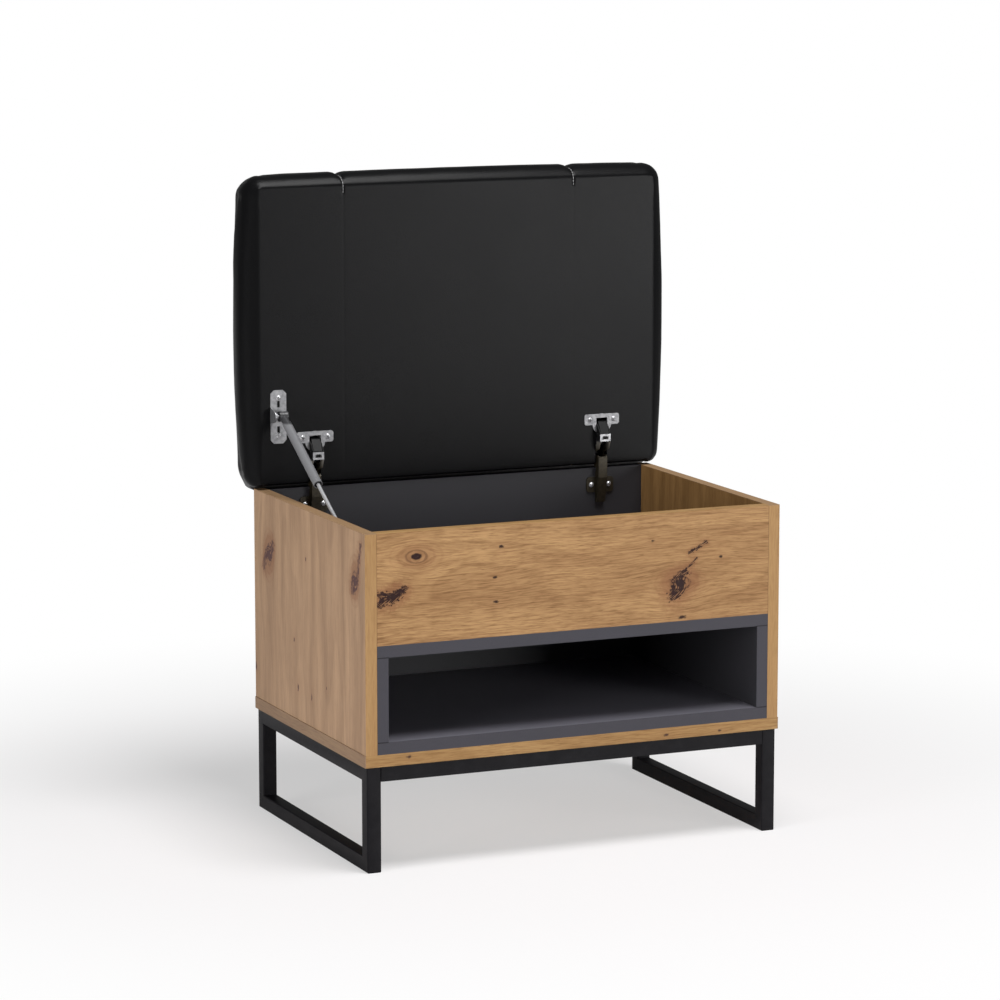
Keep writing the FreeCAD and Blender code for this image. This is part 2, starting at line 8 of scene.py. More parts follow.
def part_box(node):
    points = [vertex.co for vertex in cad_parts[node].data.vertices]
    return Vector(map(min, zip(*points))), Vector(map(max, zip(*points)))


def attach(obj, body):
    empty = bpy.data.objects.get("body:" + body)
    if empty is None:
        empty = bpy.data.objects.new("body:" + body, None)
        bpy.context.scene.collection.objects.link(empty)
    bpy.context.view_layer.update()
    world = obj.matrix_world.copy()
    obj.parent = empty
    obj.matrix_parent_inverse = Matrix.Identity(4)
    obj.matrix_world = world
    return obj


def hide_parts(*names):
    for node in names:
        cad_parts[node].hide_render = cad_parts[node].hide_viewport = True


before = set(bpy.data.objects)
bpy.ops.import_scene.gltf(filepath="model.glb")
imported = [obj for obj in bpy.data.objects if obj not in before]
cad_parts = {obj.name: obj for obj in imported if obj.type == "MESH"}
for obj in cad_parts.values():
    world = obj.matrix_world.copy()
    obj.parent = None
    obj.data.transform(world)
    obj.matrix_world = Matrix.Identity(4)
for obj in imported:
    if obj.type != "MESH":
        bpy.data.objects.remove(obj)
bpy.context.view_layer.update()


# Chest, front, sides and bottom panel: 16 mm particle board with a printed oak finish, edged
# with strips of the same print and held by cams and dowels. The print runs along the front,
# up the sides and round its knots.


class Wire:
    """A value, vector or colour in a material; sums written with it add their nodes."""

    def __init__(self, tree, socket=None):
        self.tree = tree
        self.socket = socket

    def node(self, kind, settings=None, sockets=None, out=0):
        """Add a node: its settings first, then the value or link of each socket."""
        made = self.tree.nodes.new("ShaderNode" + kind)
        for name, value in (settings or {}).items():
            setattr(made, name, value)
        for name, value in (sockets or {}).items():
            if isinstance(value, Wire):
                self.tree.links.new(value.socket, made.inputs[name])
            else:
                made.inputs[name].default_value = value
        return Wire(self.tree, made.outputs[out])

    def sum(self, operation, first, second=0.0):
        return self.node("Math", {"operation": operation}, {0: first, 1: second})

    def __add__(self, other): return self.sum("ADD", self, other)
    def __radd__(self, other): return self.sum("ADD", other, self)
    def __sub__(self, other): return self.sum("SUBTRACT", self, other)
    def __rsub__(self, other): return self.sum("SUBTRACT", other, self)
    def __mul__(self, other): return self.sum("MULTIPLY", self, other)
    def __rmul__(self, other): return self.sum("MULTIPLY", other, self)
    def __truediv__(self, other): return self.sum("DIVIDE", self, other)
    def __rtruediv__(self, other): return self.sum("DIVIDE", other, self)
    def __pow__(self, other): return self.sum("POWER", self, other)
    def __abs__(self): return self.sum("ABSOLUTE", self)

    def ease(self, low, high):
        """0 at low, 1 at high and smooth between; low may be the larger."""
        return self.node("MapRange", {"interpolation_type": "SMOOTHSTEP"},
                         {"Value": self, "From Min": low, "From Max": high})

    def object_place(self):
        """The object's own x, y and z."""
        parts = self.node("SeparateXYZ", sockets={0: self.node("TexCoord", out="Object")})
        return [Wire(self.tree, output) for output in parts.socket.node.outputs]

    def cloud(self, x, y, z=0.0, detail=2.0, rough=0.5):
        """Soft noise from 0 to 1 over a place given by three values."""
        place = self.node("CombineXYZ", sockets={0: x, 1: y, 2: z})
        return self.node("TexNoise", sockets={"Vector": place, "Scale": 1.0, "Detail": detail,
                                              "Roughness": rough})

    def grain(self, scale, detail=2.0, rough=0.5):
        """Soft noise from 0 to 1 that is alike all ways, with its scale in grains to a metre."""
        return self.cloud(*(way * scale for way in self.object_place()), detail, rough)

    def blend(self, first, second, factor):
        """A colour between two colours."""
        return self.node("Mix", {"data_type": "RGBA"}, {0: factor, 6: first, 7: second}, out=2)

    def into(self, shader, socket):
        self.tree.links.new(self.socket, shader.inputs[socket])

    def bump(self, shader, strength, depth):
        """Use this value as a height, with depth in metres."""
        self.node("Bump", sockets={"Height": self, "Strength": strength, "Distance": depth}
                  ).into(shader, "Normal")


def shade(red, green, blue):
    """A colour given in the usual 0 to 255."""
    parts = (part / 255 for part in (red, green, blue))
    return (*(p / 12.92 if p <= 0.04045 else ((p + 0.055) / 1.055) ** 2.4 for p in parts), 1.0)


def coated(name, **constants):
    """A material with one shader; constants go on the shader's own sockets."""
    material = bpy.data.materials.new(name)
    material.use_nodes = True
    tree = material.node_tree
    tree.nodes.clear()
    shader = tree.nodes.new("ShaderNodeBsdfPrincipled")
    output = tree.nodes.new("ShaderNodeOutputMaterial")
    tree.links.new(shader.outputs[0], output.inputs[0])
    for socket, value in constants.items():
        shader.inputs[socket.replace("_", " ")].default_value = value
    return material, Wire(tree), shader


def give(material, *nodes):
    """Put a material on CAD nodes, in the place of whatever they came with."""
    for name in nodes:
        mesh = bpy.data.objects[name].data
        mesh.materials.clear()
        mesh.materials.append(material)


def oak_print(wire, along, across, knots, marks, cracks, pale, warm, deep, knot, seed, fine=0.4):
    """Colour and height of the oak finish: along and across follow its grain in metres.
    A knot is (along, across, size), a mark is a knot too small to turn the grain, and a crack
    runs from (along, across) to (along, across) and has a width."""
    sway = wire.cloud(along * 7 + seed, across * 11, detail=1) - 0.5
    ragged = wire.cloud(along * 210, across * 210 + seed, detail=3, rough=0.65) - 0.5
    across = across + sway * 0.012
    dark = 0.0
    halo = 0.0
    for at, up, size in knots:
        run = (along - at) * 0.6
        rise = across - up
        near = run * run + rise * rise
        far = ((near ** 0.5) + ragged * (size * 0.35)) / size
        across = across - rise * (size * size * 7.0) / (near + size * size * 5.0)
        rings = wire.sum("SINE", far * 5.5 + sway * 3).ease(0.1, 1.0)
        dark = dark + far.ease(0.95, 0.5) + rings * far.ease(3.2, 0.9) * 0.4
        halo = halo + far.ease(5.5, 0.8) * 0.6 + rings * far.ease(9, 3) * 0.2
    for at, up, size in marks:
        run = (along - at) * 0.55
        rise = across - up
        far = (run * run + rise * rise) ** 0.5 + ragged * (size * 1.3)
        dark = dark + far.ease(size * 0.8, size * 0.1) * 0.8
        halo = halo + far.ease(size * 4, size) * 0.25
    for (at, up), (to, over), width in cracks:
        length = math.hypot(to - at, over - up)
        way = ((to - at) / length, (over - up) / length)
        run = (along - at) * way[0] + (across - up) * way[1]
        aside = (across - up) * way[0] - (along - at) * way[1]
        strand = wire.cloud(run * 70 + seed, aside * 650, detail=2).ease(0.40, 0.56)
        aside = abs(aside)
        beyond = wire.sum("MAXIMUM", abs(run - length / 2) - length / 2, 0.0)
        far = (beyond * beyond + aside * aside) ** 0.5 + ragged * (width * 2.1)
        dark = dark + far.ease(width * 0.8, width * 0.3) * (strand * 0.85 + 0.2)
        halo = halo + (far + ragged * width).ease(width * 2.6, width * 0.4) * 0.6
    field = wire.cloud(along * 2.2 + seed, across * 10, detail=1.5, rough=0.4) * 7 + across * 22
    ring = wire.node("Math", {"operation": "FRACT"}, {0: field})
    ring = ring.ease(0.0, 0.9) * ring.ease(1.0, 0.88)
    broad = wire.cloud(along * 2.4, across * 30 + seed, detail=2)
    streak = wire.cloud(along * 19 + seed, across * 330, detail=3, rough=0.62)
    fibre = wire.cloud(along * 48 + seed, across * 620, detail=2, rough=0.6)
    pore = wire.cloud(along * 70, across * 800 + seed, detail=1).ease(0.60, 0.72)
    depth = broad.ease(0.32, 0.68) * (0.86 - fine) + ring * 0.14 + streak.ease(0.36, 0.64) * fine
    colour = wire.blend(pale, warm, depth)
    lines = fibre.ease(0.42, 0.68) * 0.8 + pore * 0.6 + streak.ease(0.54, 0.70) * 0.6
    lines = lines * fine + ring * ring * ring * 0.12
    colour = wire.blend(colour, deep, lines)
    if knots or marks or cracks:
        colour = wire.blend(colour, shade(128, 82, 56), halo.ease(0.0, 1.0) * 0.5)
        core = wire.blend(knot, warm, ragged.ease(0.05, 0.3) * 0.4)
        colour = wire.blend(colour, core, dark.ease(0.0, 0.9))
    return colour, streak * 0.5 + fibre * 0.5 - dark * 0.3


def oak(name, along, across, knots=(), marks=(), cracks=(), pale=shade(186, 147, 101),
        warm=shade(149, 111, 73), deep=shade(108, 73, 42), knot=shade(42, 22, 20), seed=0.0,
        joints=0.0, fine=0.4):
    """The oak finish with its grain along one axis and laid over the other two. It darkens at
    its ends where joints, half the length between them, is given."""
    material, wire, shader = coated(name, Roughness=0.5, Specular_IOR_Level=0.16)
    places = dict(zip("xyz", wire.object_place()))
    run = places[along]
    width = places[across[0]] + places[across[1]]
    colour, height = oak_print(wire, run, width, knots, marks, cracks, pale, warm, deep, knot,
                               seed, fine)
    if joints:
        seam = abs(run).ease(joints - 0.0010, joints)
        colour = wire.blend(colour, shade(70, 46, 30), seam * 0.7)
    colour.into(shader, "Base Color")
    (0.46 + height * 0.14).into(shader, "Roughness")
    height.bump(shader, 0.3, 0.0003)
    return material


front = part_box("front_panel")[0][1]
left_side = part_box("side_panel_left")[0][0]
right_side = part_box("side_panel_right")[1][0]
give(oak("oak_front", "x", "zy",
         knots=[(-0.2285, front + 0.4150, 0.0060), (0.152, front + 0.3520, 0.0060)],
         marks=[(-0.109, front + 0.4205, 0.004), (-0.118, front + 0.3835, 0.0035),
                (-0.116, front + 0.350, 0.0045), (0.111, front + 0.4095, 0.003),
                (0.212, front + 0.380, 0.0035), (0.155, front + 0.313, 0.006)],
         cracks=[((-0.280, front + 0.357), (-0.246, front + 0.377), 0.0085),
                 ((-0.279, front + 0.369), (-0.262, front + 0.368), 0.0085),
                 ((-0.262, front + 0.361), (-0.252, front + 0.369), 0.0085),
                 ((0.141, front + 0.344), (0.158, front + 0.357), 0.0120),
                 ((0.156, front + 0.358), (0.176, front + 0.379), 0.0030),
                 ((0.166, front + 0.389), (0.190, front + 0.402), 0.0042)],
         seed=3.1, joints=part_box("front_panel")[1][0], fine=0.48), "front_panel")
# Painted light: the left side's print is greyer and cooler than the front's, for the cool light
# that falls on that side.
give(oak("oak_left_side_painted_light", "z", "yx",
         knots=[(0.365, left_side + 0.113, 0.0060), (0.382, left_side - 0.204, 0.0055)],
         marks=[(0.382, left_side - 0.024, 0.0035), (0.201, left_side + 0.005, 0.0055),
                (0.197, left_side - 0.046, 0.0045), (0.220, left_side - 0.101, 0.003),
                (0.265, left_side + 0.019, 0.004), (0.201, left_side + 0.168, 0.007)],
         cracks=[((0.347, left_side + 0.126), (0.382, left_side + 0.104), 0.0090),
                 ((0.366, left_side - 0.200), (0.432, left_side - 0.221), 0.0058)],
         pale=shade(186, 153, 122), warm=shade(154, 124, 98), deep=shade(124, 97, 76),
         knot=shade(84, 58, 56), seed=11.4, fine=0.2), "side_panel_left")
# Painted shade: the right side's print is darker and warmer than the front's, for the shade inside
# the chest.
give(oak("oak_right_side_painted_shade", "z", "yx", knots=[(0.290, right_side + 0.060, 0.0060)],
         marks=[(0.400, right_side - 0.150, 0.004), (0.220, right_side - 0.090, 0.004)],
         pale=shade(168, 128, 80), warm=shade(132, 98, 58), deep=shade(96, 66, 38),
         seed=23.7, fine=0.25), "side_panel_right")
give(oak("oak_bottom", "x", "yz", seed=31.2), "bottom_panel")

# the strips: along x on the front's top edge and under the niche, along y on top of the sides
# and at the bottom panel's ends, and up the sides' front edges
strip_top = 0.4480
strip_bottom = 0.1572
strip_side = 0.2840
strip_end = 0.3001
strip_face = -0.241
oak_strips, wire, shader = coated("oak_strips", Roughness=0.5, Specular_IOR_Level=0.16)
x, y, z = wire.object_place()
on_top = z.ease(strip_top - 0.0002, strip_top + 0.0002)
low = z.ease(strip_bottom + 0.0002, strip_bottom - 0.0002)
out = abs(x).ease(strip_side - 0.0002, strip_side + 0.0002)
at_end = abs(x).ease(strip_end - 0.0001, strip_end + 0.0001)
run_y = on_top * out + low * at_end
run_z = (1 - on_top) * (1 - low)
run = y * run_y + z * run_z + x * (1 - run_y - run_z)
colour, height = oak_print(
    wire, run, x + y + z - run, [],
    [(-0.239, strip_face + 0.150, 0.0045), (0.133, strip_face + 0.148, 0.004),
     (0.212, strip_face + 0.146, 0.003)], [],
    shade(176, 141, 94), shade(152, 115, 72), shade(110, 76, 42), shade(70, 46, 40), 5.5)
# Painted light and shade by face: the strips are lighter up the sides' front edges, and greyer on
# top of the sides and at the bottom panel's ends.
colour = wire.blend(colour, shade(178, 140, 96), run_z * 0.4)
colour = wire.blend(colour, shade(148, 122, 98), on_top * out * 0.6)
colour = wire.blend(colour, shade(132, 114, 104), low * at_end * 0.55)
colour.into(shader, "Base Color")
(0.46 + height * 0.14).into(shader, "Roughness")
height.bump(shader, 0.3, 0.0003)
give(oak_strips, "edge_bands_oak")


# Niche lining, chest floor and back panel: the same board in a plain anthracite finish with a
# fine pearl grain, edged in the same colour. Its three tones are painted light and shade: darkest
# on the back panel and the niche's sides, lightest on the floors, between on the edges.

def anthracite(name, dark, light, sheen=0.5):
    """The anthracite finish, between a darker and a lighter grey. It is darkest in the joints
    of the niche's front edges, and the back panel's top edge, under the lid, is darkened as
    painted shade."""
    material, wire, shader = coated(name, Roughness=0.5, Specular_IOR_Level=sheen)
    x, y, z = wire.object_place()
    pearl = wire.grain(1500)
    patch = wire.grain(7)
    colour = wire.blend(dark, light, pearl.ease(0.3, 0.7) * 0.55 + patch * 0.45)
    low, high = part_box("niche_side_left")
    joint = abs(z - high[2]).ease(0.0012, 0.0004) + abs(z - low[2]).ease(0.0012, 0.0004)
    joint = joint * abs(x).ease(-high[0] - 0.0005, -high[0])
    joint = joint + abs(x).ease(-low[0] - 0.0009, -low[0])
    at_front = y.ease(-0.236, -0.240)
    # Painted shade: the back panel's top edge, under the lid, is darkened.
    back_edge_painted_shade = y.ease(0.1550, 0.1556) * z.ease(0.4480, 0.4484)
    colour = wire.blend(colour, shade(22, 22, 24), joint.ease(0.0, 1.0) * at_front * 0.7)
    colour = wire.blend(colour, shade(26, 26, 28), back_edge_painted_shade)
    colour.into(shader, "Base Color")
    (0.42 + pearl * 0.16).into(shader, "Roughness")
    pearl.bump(shader, 0.25, 0.0001)
    return material


# Painted shade on the back panel and the niche's sides, painted light on the floors, and the edges
# between them.
give(anthracite("anthracite_inside_painted_shade", shade(45, 45, 48), shade(54, 53, 57), 0.35), "back_panel",
     "niche_side_left", "niche_side_right")
give(anthracite("anthracite_floor_painted_light", shade(92, 91, 98), shade(108, 106, 115)),
     "niche_floor", "chest_floor")
give(anthracite("anthracite_edge", shade(62, 62, 67), shade(73, 71, 78), 0.15), "edge_bands_dark")


# Fasteners in the boards: beech dowels, cams with steel bolts, and screws up through the bottom
# panel and the frame. All the metal is zinc plated, as are the hinges' cups and flanges and the
# strut's brackets; the staples under the lid are painted near black as painted shade, and the
# hinge screws are painted brighter as painted highlight.

beech, wire, shader = coated("beech_dowel", Roughness=0.6)
x, y, z = wire.object_place()
rays = wire.cloud(x * 120, y * 900, z * 900, detail=2)
colour = wire.blend(shade(212, 176, 134), shade(184, 144, 102), rays.ease(0.3, 0.7))
colour.into(shader, "Base Color")
rays.bump(shader, 0.3, 0.0002)
give(beech, "dowels")

zinc, wire, shader = coated("zinc_plate", Metallic=0.65, Roughness=0.35)
x, y, z = wire.object_place()
bloom = wire.grain(260, detail=3)
brushed = wire.cloud(x * 400, y * 3000, z * 500, detail=2)
colour = wire.blend(shade(150, 150, 152), shade(126, 126, 129), bloom.ease(0.3, 0.75))
colour.into(shader, "Base Color")
(0.34 + bloom * 0.16 + brushed * 0.08).into(shader, "Roughness")
brushed.bump(shader, 0.08, 0.0001)
give(zinc, "cam_bolts", "cam_discs", "carcass_screws", "floor_screws", "frame_screws",
     "hinge_cup_left", "hinge_cup_right", "hinge_flange_left", "hinge_flange_right",
     "hinge_pin_left", "hinge_pin_right",
     "strut_lid_bracket", "strut_lid_stud", "strut_side_bracket", "strut_side_stud")

# Painted shade: the staples are near black for the shade they lie in under the lid.
staple, wire, shader = coated("staple_painted_shade", Metallic=0.5, Roughness=0.6,
                              Specular_IOR_Level=0.2)
scuff = wire.grain(900)
wire.blend(shade(16, 16, 17), shade(30, 30, 31), scuff).into(shader, "Base Color")
(0.5 + scuff * 0.2).into(shader, "Roughness")
give(staple, "cover_staples")

# Painted highlight: the screw heads are near white and partly diffuse, for the glints on them.
bright_zinc, wire, shader = coated("screw_head_painted_highlight", Metallic=0.7, Roughness=0.25)
turned = wire.grain(900)
colour = wire.blend(shade(232, 232, 234), shade(200, 200, 204), turned.ease(0.3, 0.75))
colour.into(shader, "Base Color")
(0.2 + turned * 0.16).into(shader, "Roughness")
turned.bump(shader, 0.1, 0.0001)
give(bright_zinc, "hinge_screws_lid", "hinge_screws_cabinet", "strut_bracket_screws",
     "strut_side_screws")


# Leg frame: two closed loops of 20 mm square steel tube, mitred, welded and ground flush, with
# two tubes across under the bottom panel. All of it is powder coated black, with a fine
# orange-peel surface, and the tube's long edges are rolled round.

powder, wire, shader = coated("powder_coat", Roughness=0.42, Specular_IOR_Level=0.12)
peel = wire.grain(700, rough=0.6)
dust = wire.grain(40, detail=4, rough=0.7)
wire.blend(shade(20, 19, 22), shade(29, 28, 31), dust.ease(0.35, 0.8)).into(shader, "Base Color")
(0.36 + peel * 0.14).into(shader, "Roughness")
peel.bump(shader, 0.25, 0.00025)

tube = 0.020
tube_round = 0.0022


def tube_outline():
    """Points round the tube's section, as (across, inward) from its outer corner."""
    flat = tube - 2 * tube_round
    points = []
    for turn, (u, v) in enumerate(((1, 1), (0, 1), (0, 0), (1, 0))):
        middle = (tube_round + u * flat, tube_round + v * flat)
        for step in range(5):
            angle = math.radians(90 * turn + 22.5 * step)
            points.append((middle[0] + tube_round * math.cos(angle),
                           middle[1] + tube_round * math.sin(angle)))
    return points


def join_rings(form, rings):
    """Join closed rings of points, one after the other, with a wall of faces."""
    for ring, following in zip(rings, rings[1:]):
        for index in range(len(ring)):
            after = (index + 1) % len(ring)
            form.faces.new((ring[index], ring[after], following[after], following[index]))


def piece_from(name, form):
    """Make a finished form a piece, with its place in its mesh."""
    mesh = bpy.data.meshes.new(name)
    form.to_mesh(mesh)
    form.free()
    piece = bpy.data.objects.new(name, mesh)
    bpy.context.scene.collection.objects.link(piece)
    return piece


def smooth(mesh):
    mesh.polygons.foreach_set("use_smooth", [True] * len(mesh.polygons))


def leg_loop(side):
    """One welded loop, mitred at its four corners, in the place of the four tubes of the CAD."""
    low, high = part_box(f"{side}_floor_rail")
    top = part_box(f"{side}_top_rail")[1][2]
    form = bmesh.new()
    rings = []
    for corner_y, corner_z, step_y, step_z in ((low[1], 0.0, 1, 1), (high[1], 0.0, -1, 1),
                                               (high[1], top, -1, -1), (low[1], top, 1, -1)):
        rings.append([form.verts.new((low[0] + u, corner_y + step_y * v, corner_z + step_z * v))
                      for u, v in tube_outline()])
    join_rings(form, rings + rings[:1])
    bmesh.ops.recalc_face_normals(form, faces=form.faces)
    loop = piece_from(f"{side}_leg_loop", form)
    loop.data.materials.append(powder)
    smooth(loop.data)
    loop.data.set_sharp_from_angle(angle=math.radians(40))
    bars = ("floor_rail", "front_post", "rear_post", "top_rail")
    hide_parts(*(f"{side}_{bar}" for bar in bars))
    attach(loop, "cabinet")


leg_loop("left")
leg_loop("right")
give(powder, "front_cross_rail", "rear_cross_rail")


# Lid pad: foam on a board in a black leatherette cover. Two sewn channels run from its front
# edge to its rear edge and draw the seat into three cushions; each ends in a short seam groove
# at the front of the underside. The cover is folded at the corners and pulled tight over the
# board.

pad_low, pad_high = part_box("lid_cover")
board_low, board_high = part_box("lid_board")
face = pad_low[1]
seat = pad_high[1]
thick = seat - face
cover_wall = 0.003
half = board_high[0] + cover_wall
rear = board_low[2] - cover_wall
ahead = board_high[2] + cover_wall
middle_z = (rear + ahead) / 2
channel = 0.1735

# the wall's section: levels run from 0, the underside, to 1, the seat
full_from = 0.26
full_to = 0.52
drawn_in = 0.016
edge_roll = 0.009
rear_stand = 0.010
side_stand = 0.0155
side_crown = 0.0065
side_reach = 0.19
front_stand = 0.0150
front_crown = 0.003
front_reach = 0.28
pad_levels = (0, 0.015, 0.04, 0.07, 0.12, 0.18, 0.25, 0.34, 0.44, 0.55, 0.66, 0.76, 0.84, 0.9,
              0.945, 0.98)


def ease(value, low, high):
    """0 at low, 1 at high and smooth between; low may be the larger."""
    part = min(max((value - low) / (high - low), 0.0), 1.0)
    return part * part * (3 - 2 * part)


def pad_swell(level, amount):
    """How far the pad's wall stands out at a level."""
    if level < full_from:
        return amount * (1 - (1 - level / full_from) ** 2.4)
    if level < full_to:
        return amount
    return amount - (amount + drawn_in) * ((level - full_to) / (1 - full_to)) ** 3.0


def pad_ring(form, level):
    """One closed ring of points round the pad: its walls stand out most at the middle of each
    side, and between the channels of the front."""
    roll = max(edge_roll - level * thick, 0.0)
    roll = edge_roll - math.sqrt(edge_roll ** 2 - roll ** 2)
    corner = 0.010 + 0.008 * ease(level, 0.2, 0.8)
    ring = []
    y = face + thick * level
    corner_steps = 6
    side_steps = 24
    ends = ((half, ahead), (-half, ahead), (-half, rear), (half, rear))
    middles = [Vector((x - math.copysign(corner, x), 0, z - math.copysign(corner, z - middle_z)))
               for x, z in ends]
    for turn, (centre, onward) in enumerate(zip(middles, middles[1:] + middles[:1])):
        places = []
        for step in range(corner_steps + 1):
            angle = math.radians(90 * turn + 15 * step)
            places.append((centre, Vector((math.cos(angle), 0, math.sin(angle)))))
        for step in range(1, side_steps):
            places.append((centre.lerp(onward, step / side_steps), places[corner_steps][1]))
        for base, out in places:
            side = side_stand + side_crown * (1 - ((base.z - middle_z) / side_reach) ** 2)
            side = pad_swell(level, side)
            front = pad_swell(level, front_stand + front_crown * (1 - (base.x / front_reach) ** 2))
            back = 1 - 2.4 * ease(level, 0.6, 1.0) ** 2
            back = rear_stand * ease(level, 0.25, 0.45) * back - roll
            stand = abs(out.x) * side + max(out.z, 0) * front + max(-out.z, 0) * back
            stand /= abs(out.x) + abs(out.z)
            ring.append(form.verts.new(base + out * (corner + stand) + Vector((0, y, 0))))
    return ring


form = bmesh.new()
rings = [pad_ring(form, level) for level in pad_levels]
join_rings(form, rings)
form.faces.new(rings[0])
form.faces.new(rings[-1])
bmesh.ops.recalc_face_normals(form, faces=form.faces)
pad = piece_from("lid_pad", form)


def as_plain_mesh(piece):
    """A new mesh of the piece with its modifiers applied."""
    graph = bpy.context.evaluated_depsgraph_get()
    return bpy.data.meshes.new_from_object(piece.evaluated_get(graph))


def settle(piece, kind, **settings):
    """Apply one modifier to a piece's mesh."""
    modifier = piece.modifiers.new(kind.lower(), kind)
    for name, value in settings.items():
        setattr(modifier, name, value)
    made = as_plain_mesh(piece)
    piece.modifiers.clear()
    piece.data = made


def fill_with_air(piece, held, cap):
    """Blow the cover up from inside for some frames. Held gives how firmly a point stays, from
    0 to 1, and cap is the furthest that a point may move."""
    frames = 20
    group = piece.vertex_groups.new(name="held")
    start = [v.co.copy() for v in piece.data.vertices]
    for index, at in enumerate(start):
        group.add([index], held(at), "REPLACE")
    cloth = piece.modifiers.new("fill", "CLOTH")
    cloth.settings.quality = 5
    cloth.settings.mass = 0.35
    cloth.settings.tension_stiffness = 15
    cloth.settings.compression_stiffness = 15
    cloth.settings.shear_stiffness = 5
    cloth.settings.bending_stiffness = 1.5
    cloth.settings.use_pressure = True
    cloth.settings.uniform_pressure_force = 4
    cloth.settings.vertex_group_mass = "held"
    cloth.settings.effector_weights.gravity = 0
    cloth.point_cache.frame_start = 1
    cloth.point_cache.frame_end = frames
    scene = bpy.context.scene
    for step in range(1, frames + 1):
        scene.frame_set(step)
    blown = as_plain_mesh(piece)
    moved = [v.co.copy() for v in blown.vertices]
    piece.modifiers.clear()
    piece.vertex_groups.clear()
    bpy.data.meshes.remove(blown)
    scene.frame_set(1)
    for vertex, at, to in zip(piece.data.vertices, start, moved):
        way = to - at
        if way.length > cap:
            way *= cap / way.length
        vertex.co = at + way


settle(pad, "REMESH", mode="VOXEL", voxel_size=0.0050)
fill_with_air(pad, lambda at: 1 - ease(at.y, face + 0.018, face + 0.034), 0.0065)
upper = pad.vertex_groups.new(name="upper")
for vertex in pad.data.vertices:
    upper.add([vertex.index], ease(vertex.co.y, face + 0.020, face + 0.036), "REPLACE")
settle(pad, "SMOOTH", factor=0.5, iterations=10, vertex_group="upper")
pad.vertex_groups.clear()
settle(pad, "SUBSURF", levels=1, render_levels=1)

# the two channels, cut in where they run and pulled in with the cover round them
valley_cuts = (-0.012, -0.008, -0.005, -0.0028, -0.0012, 0, 0.0012, 0.0028, 0.005, 0.008, 0.012)
valley_half = 0.013
crease_half = 0.006
seam_half = 0.0028
seam_depth = 0.0006
front_channel = 0.0045
rear_channel = 0.0030
seat_channel = 0.0065
fold_depth = 0.0010
rear_hang = 0.0095
underside = 0.0035
seam_groove = 0.0009
seam_end = 0.012

form = bmesh.new()
form.from_mesh(pad.data)
for place in (-channel, channel):
    for step in valley_cuts:
        bmesh.ops.bisect_plane(form, geom=form.verts[:] + form.edges[:] + form.faces[:], dist=1e-6,
                               plane_co=(place + step, 0, 0), plane_no=(1, 0, 0))
form.normal_update()
moves = []
for vertex in form.verts:
    at, normal = vertex.co, vertex.normal
    level = (at.y - face) / thick
    on_wall = ease(level, 0.03, 0.16)
    aside = min(abs(at.x - place) for place in (-channel, channel))
    notch = (1 - ease(aside, 0.0, valley_half)) * 0.5 + max(1 - aside / crease_half, 0.0) * 0.5
    if at.z > middle_z:
        depth = front_channel * ease(level, 0.02, 0.22)
    else:
        depth = rear_channel * ease(level, 0.3, 0.5)
    depth = max(depth, seat_channel * ease(level, 0.82, 0.97))
    seam = seam_depth * max(1 - aside / seam_half, 0.0)
    inward = Vector((0, normal.y, normal.z))
    move = -inward * (depth * notch + seam)
    # soft waves in the cover's walls and seat
    wave = noise.noise(at * 20) * 0.0004 + noise.noise(at * 60 + Vector((3, 1, 7))) * 0.0001
    move += normal * wave * on_wall
    # a fold at each corner, where the cover is gathered over the board
    for corner_x in (-half, half):
        for corner_z in (rear, ahead):
            gone = Vector((at.x - corner_x, 0, at.z - corner_z))
            if gone.length < 0.06 and level > 0.0:
                across = abs(abs(gone.x) - abs(gone.z)) * 0.7
                fold = (1 - ease(across, 0.0, 0.005)) * (1 - ease(level, 0.35, 0.7))
                fold *= ease(level, 0.2, 0.26)
                move -= normal * fold * fold_depth
    moves.append((vertex, move))
for vertex, move in moves:
    vertex.co += move
    at = vertex.co
    # behind the back panel the cover hangs lower, over the gap under the lid
    level = (at.y - face) / thick
    hang = rear_hang * ease(level, 0.25, 0.38) * (1 - ease(level, 0.62, 0.95))
    hang *= 1 - ease(abs(at.x), half - 0.008, half + 0.008)
    hang *= 1 - ease(at.z, rear, rear + 0.016)
    if hang > 0:
        at.z = min(at.z, max(at.z, rear) - hang)
    # the underside lies flat on the board, but for a groove at the front for the channels' seams
    inside = abs(at.x) < half - 0.001 and rear + 0.002 < at.z < ahead - 0.001
    if at.y < face + underside and inside:
        aside = 1.0
        if at.z > ahead - seam_end:
            aside = min(abs(abs(at.x) - channel) / seam_half, 1.0)
        at.y = max(face + (at.y - face) * 0.1, face) + seam_groove * (1 - aside)
form.to_mesh(pad.data)
form.free()

# the valley of each channel, from just inside the underside's front edge over to the rear wall
form = bmesh.new()
form.from_mesh(pad.data)
valleys = bmesh.new()
for place in (-channel, channel):
    line = [v.co.copy() for v in form.verts if abs(v.co.x - place) < 1e-5]
    middle = Vector((place, (face + seat) / 2, middle_z))
    flatter = thick / (ahead - rear)
    line.sort(key=lambda at: math.atan2(at.y - middle.y, (at.z - middle.z) * flatter))
    line = [at for at in line if at.y > face + 0.0014 or at.z > ahead - 0.011]
    line = [at for at in line if at.z > middle_z or at.y > face + 0.03]
    points = [valleys.verts.new(at) for at in line]
    for point, following in zip(points, points[1:]):
        valleys.edges.new((point, following))
form.free()
mesh = bpy.data.meshes.new("channel_valleys")
valleys.to_mesh(mesh)
valleys.free()


